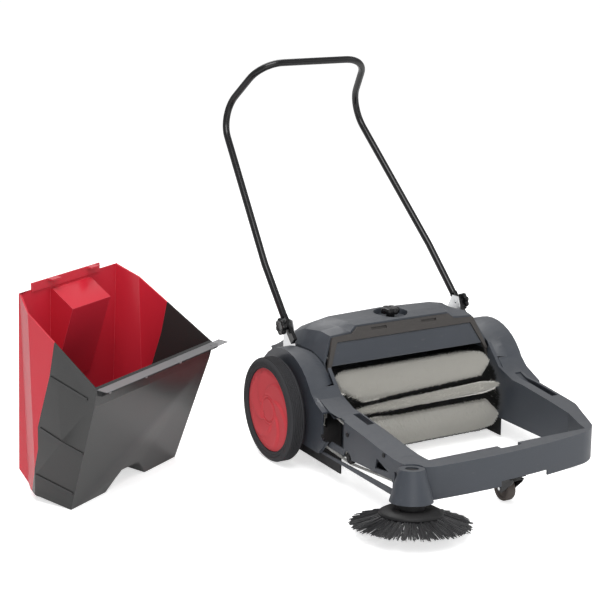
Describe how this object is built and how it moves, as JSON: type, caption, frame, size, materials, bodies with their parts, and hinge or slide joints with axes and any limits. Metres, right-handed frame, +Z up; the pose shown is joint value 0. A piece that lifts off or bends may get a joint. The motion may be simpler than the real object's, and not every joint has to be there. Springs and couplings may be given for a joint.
{
  "type": "walk behind sweeper",
  "caption": "Manual push floor sweeper with a rotating main brush, a side broom, a folding push handle and a lift-out dirt hopper standing beside it.",
  "frame": {"origin": "centre of the footprint of sweeper and hopper together, on the floor", "axes": "+Z up, the sweeper pushes towards -Y, +X is the operator's left"},
  "size_m": [1.4028, 1.3311, 1.015],
  "materials": {
    "frame_slate": "fine moulded grain, satin",
    "trim_brown": "matt moulded",
    "black_plastic": "semi-gloss moulded",
    "hopper_red": "semi-gloss moulded",
    "hopper_black": "semi-gloss moulded",
    "disc_red": "satin moulded",
    "tyre_rubber": "ribbed tread",
    "castor_tread": "worn rubber",
    "seal_rubber": "flexible sheet",
    "belt_pu": "smooth polyurethane",
    "belt_black": "flat belt",
    "zinc": "zinc plated",
    "steel": "bright turned",
    "black_steel": "gloss black",
    "gear_nylon": "natural nylon",
    "bristle_white": "fine nylon filament",
    "bristle_black": "stiff nylon filament",
    "ring_dark": "rough moulded",
    "flap_grey": "translucent sheet"
  },
  "bodies": {
    "chassis": {"frame_side_right": "frame_slate", "frame_side_left": "frame_slate", "front_bar": "frame_slate", "broom_housing": "frame_slate", "housing_cap": "black_plastic", "hood": "frame_slate", "hood_trim": "trim_brown", "front_panel": "frame_slate", "side_plate_left": "black_plastic", "side_plate_right": "black_plastic", "rear_panel": "black_plastic", "rear_seal": "seal_rubber", "side_skirts": "seal_rubber", "stub_axles": "steel", "axle_clips": "steel", "round_belt": "belt_pu", "guide_pins": "steel", "castor_plate": "zinc", "handle_brackets": "zinc", "handle_bolts": "zinc", "frame_screws": "black_steel"},
    "wheel_left": {"tyre_left": "tyre_rubber", "wheel_disc_left": "disc_red"},
    "wheel_right": {"tyre_right": "tyre_rubber", "wheel_disc_right": "disc_red", "drive_hub": "gear_nylon"},
    "jackshaft": {"jackshaft": "steel", "jackshaft_pinion": "gear_nylon", "belt_pulley_upper": "gear_nylon"},
    "brush_carrier": {"carrier_arm_left": "black_steel", "carrier_arm_right": "black_steel", "carrier_tube": "steel", "brush_bearings": "gear_nylon", "brush_belt": "belt_black"},
    "main_brush": {"brush_core": "black_plastic", "brush_shaft": "steel", "belt_pulley_lower": "gear_nylon", "bristles_white": "bristle_white", "bristles_black": "bristle_black"},
    "lift_knob": {"lift_knob": "black_plastic", "lift_screw": "steel"},
    "side_broom": {"broom_spindle": "steel", "broom_pulley": "gear_nylon", "broom_hub": "black_plastic", "broom_ring": "ring_dark", "broom_bristles": "bristle_black"},
    "guide_pulley": {"guide_pulley": "steel"},
    "castor_fork": {"castor_fork": "black_steel", "castor_pin": "steel"},
    "castor_wheel": {"castor_wheel": "castor_tread"},
    "handle": {"handle_tube": "black_steel"},
    "handle_knob_left": {"handle_knob_left": "black_plastic"},
    "handle_knob_right": {"handle_knob_right": "black_plastic"},
    "hopper": {"hopper_front": "hopper_black", "hopper_back": "hopper_red", "hopper_flap": "flap_grey", "flap_bar": "black_steel", "flap_screws": "steel", "roller_brackets": "black_steel"},
    "hopper_rollers": {"hopper_rollers": "black_plastic"}
  },
  "joints": [
    {"name": "wheel_left_spin", "type": "hinge", "parent": "chassis", "child": "wheel_left", "pos_m": [0.6794, 0.09001, 0.14], "axis": [1, 0, 0], "continuous": true},
    {"name": "wheel_right_spin", "type": "hinge", "parent": "chassis", "child": "wheel_right", "pos_m": [-0.0276, 0.09001, 0.14], "axis": [1, 0, 0], "continuous": true},
    {"name": "jackshaft_spin", "type": "hinge", "parent": "chassis", "child": "jackshaft", "pos_m": [0.0444, 0.18601, 0.14], "axis": [1, 0, 0], "continuous": true},
    {"name": "brush_lift", "type": "hinge", "parent": "chassis", "child": "brush_carrier", "pos_m": [0.3444, 0.18601, 0.14], "axis": [-1, 0, 0], "range_deg": [0, 2.59]},
    {"name": "main_brush_spin", "type": "hinge", "parent": "brush_carrier", "child": "main_brush", "pos_m": [0.3444, 0.02501, 0.1201], "axis": [1, 0, 0], "continuous": true},
    {"name": "lift_knob_turn", "type": "hinge", "parent": "chassis", "child": "lift_knob", "pos_m": [0.3444, 0.10401, 0.341], "axis": [0, 0, 1], "range_deg": [0, 1080]},
    {"name": "side_broom_spin", "type": "hinge", "parent": "chassis", "child": "side_broom", "pos_m": [0.0254, -0.49799, 0.154], "axis": [0.0699, 0.0998, 0.9925], "continuous": true},
    {"name": "guide_pulley_spin", "type": "hinge", "parent": "chassis", "child": "guide_pulley", "pos_m": [0.0344, -0.20899, 0.0873], "axis": [1, 0, 0], "continuous": true},
    {"name": "castor_swivel", "type": "hinge", "parent": "chassis", "child": "castor_fork", "pos_m": [0.3344, -0.48499, 0.084], "axis": [0, 0, 1], "continuous": true},
    {"name": "castor_wheel_spin", "type": "hinge", "parent": "castor_fork", "child": "castor_wheel", "pos_m": [0.3344, -0.44899, 0.032], "axis": [1, 0, 0], "continuous": true},
    {"name": "handle_fold", "type": "hinge", "parent": "chassis", "child": "handle", "pos_m": [0.3444, 0.18201, 0.334], "axis": [1, 0, 0], "range_deg": [-25, 118]},
    {"name": "handle_knob_left_turn", "type": "hinge", "parent": "chassis", "child": "handle_knob_left", "pos_m": [0.6374, 0.18201, 0.334], "axis": [1, 0, 0], "range_deg": [0, 720]},
    {"name": "handle_knob_right_turn", "type": "hinge", "parent": "chassis", "child": "handle_knob_right", "pos_m": [0.0514, 0.18201, 0.334], "axis": [-1, 0, 0], "range_deg": [0, 720]},
    {"name": "hopper_lift", "type": "slide", "parent": "chassis", "child": "hopper", "axis": [0, 0, 1], "range_m": [0, 0.5]},
    {"name": "hopper_roller_spin", "type": "hinge", "parent": "hopper", "child": "hopper_rollers", "pos_m": [-0.50718, 0.23153, 0.013], "axis": [0.8634, 0.5045, 0], "continuous": true}
  ],
  "couplings": [
    {"joint": "jackshaft_spin", "follows": "wheel_right_spin", "ratio": -3},
    {"joint": "main_brush_spin", "follows": "wheel_right_spin", "ratio": -3},
    {"joint": "side_broom_spin", "follows": "wheel_right_spin", "ratio": 2.6364},
    {"joint": "guide_pulley_spin", "follows": "wheel_right_spin", "ratio": -4.64},
    {"joint": "lift_knob_turn", "follows": "brush_lift", "ratio": 416.67}
  ]
}
